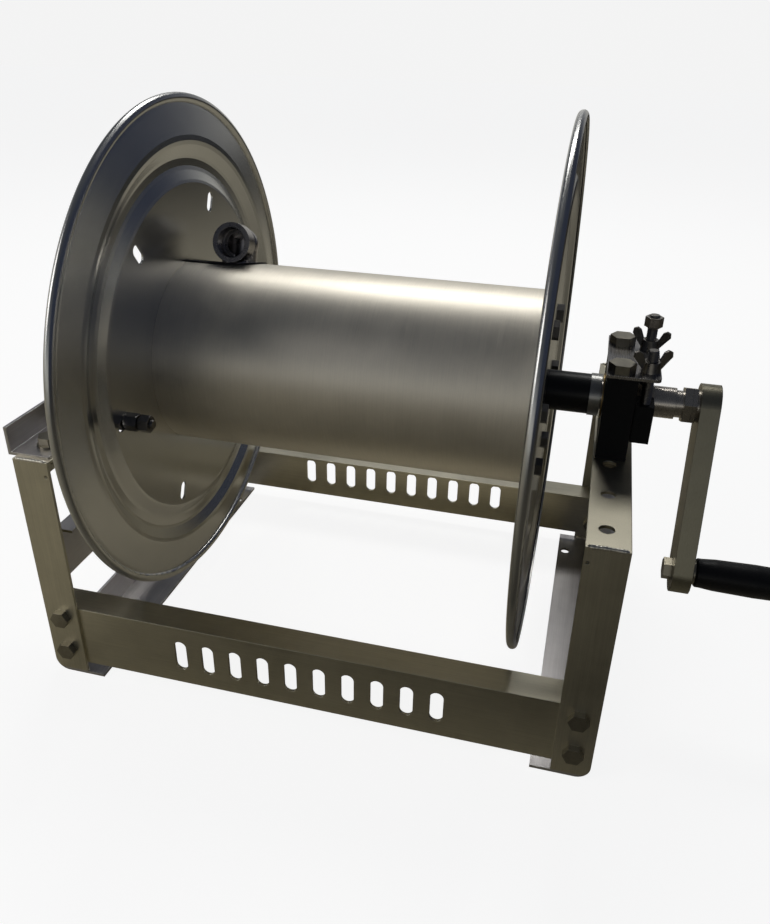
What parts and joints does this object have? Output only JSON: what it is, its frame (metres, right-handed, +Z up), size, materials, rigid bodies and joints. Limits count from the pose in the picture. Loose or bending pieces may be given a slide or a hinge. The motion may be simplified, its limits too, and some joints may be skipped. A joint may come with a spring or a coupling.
{
  "type": "hose reel",
  "caption": "Hand-cranked hose reel: flanged drum between dished discs on bent aluminium side frames, with a drag brake, inlet swivel and threaded hose outlet.",
  "frame": {"origin": "centre of the foot bolt pattern, on the ground plane", "axes": "+X along the reel axis towards the crank, +Y towards the back (the hose outlet faces -Y), +Z up"},
  "size_m": [0.816, 0.508, 0.55],
  "materials": {
    "disc": "satin spun sheet with fine circular brushing",
    "drum": "satin rolled tube",
    "frame_alu": "satin sheet, lightly brushed along its length",
    "crank_alu": "satin bar",
    "cast": "dull cast plate",
    "stainless": "turned stainless",
    "collar_steel": "turned steel",
    "zinc": "plated steel, slightly dull",
    "black_tube": "matte black tube",
    "black_block": "machined black bearing plastic",
    "black_rubber": "matte black edge trim",
    "grip_rubber": "matte black moulded grip",
    "bronze": "sintered bronze"
  },
  "bodies": {
    "frame": {"side_frame_left": "frame_alu", "side_frame_right": "frame_alu", "foot_angle_left": "frame_alu", "foot_angle_right": "frame_alu", "mid_rail_left": "frame_alu", "mid_rail_right": "frame_alu", "crossbar_front": "frame_alu", "crossbar_rear": "frame_alu", "leg_bolts": "zinc", "leg_nuts": "zinc", "bearing_block_left": "black_block", "bearing_block_right": "black_block", "bush_left": "bronze", "bush_right": "bronze", "block_bolts": "zinc", "block_nuts": "zinc", "top_plate": "frame_alu", "side_rail": "frame_alu", "rail_bolts": "zinc", "rail_nuts": "zinc"},
    "spool": {"disc_left": "disc", "disc_right": "disc", "drum": "drum", "end_plate_left": "cast", "end_plate_right": "cast", "axle": "stainless", "sleeve_left": "black_tube", "sleeve_right": "black_tube", "collar_left": "collar_steel", "collar_right": "collar_steel", "riser": "stainless", "outlet_elbow": "stainless", "slot_trim": "black_rubber", "disc_bolts": "zinc", "disc_nuts": "zinc", "disc_stud": "zinc", "jam_nut": "stainless", "crank_hub": "stainless", "crank_arm": "crank_alu", "handle_bolt": "zinc", "handle_washers": "zinc", "grip_nut": "zinc"},
    "grip": {"grip": "grip_rubber"},
    "swivel": {"swivel_body": "stainless", "swivel_ring": "zinc"},
    "brake_shoe": {"brake_shoe": "black_block", "brake_studs": "zinc", "stud_stop_nut": "stainless"},
    "wing_nut_front": {"wing_nut_front": "stainless"},
    "wing_nut_rear": {"wing_nut_rear": "stainless"}
  },
  "joints": [
    {"name": "spool_spin", "type": "hinge", "parent": "frame", "child": "spool", "pos_m": [0, 0, 0.296], "axis": [1, 0, 0], "continuous": true},
    {"name": "grip_spin", "type": "hinge", "parent": "spool", "child": "grip", "pos_m": [0.4, -0.05242, 0.14377], "axis": [1, 0, 0], "continuous": true},
    {"name": "swivel_turn", "type": "hinge", "parent": "frame", "child": "swivel", "pos_m": [-0.3, 0, 0.296], "axis": [1, 0, 0], "continuous": true},
    {"name": "brake_slide", "type": "slide", "parent": "frame", "child": "brake_shoe", "axis": [0, 0, 1], "range_m": [-0.003, 0]},
    {"name": "wing_nut_front_turn", "type": "hinge", "parent": "frame", "child": "wing_nut_front", "pos_m": [0.2805, -0.03, 0.347], "axis": [0, 0, 1], "range_deg": [-720, 0]},
    {"name": "wing_nut_rear_turn", "type": "hinge", "parent": "frame", "child": "wing_nut_rear", "pos_m": [0.2805, 0.03, 0.347], "axis": [0, 0, 1], "range_deg": [-720, 0]}
  ],
  "couplings": [
    {"joint": "wing_nut_front_turn", "follows": "brake_slide", "rad_per_m": 4188.8},
    {"joint": "wing_nut_rear_turn", "follows": "brake_slide", "rad_per_m": 4188.8}
  ]
}
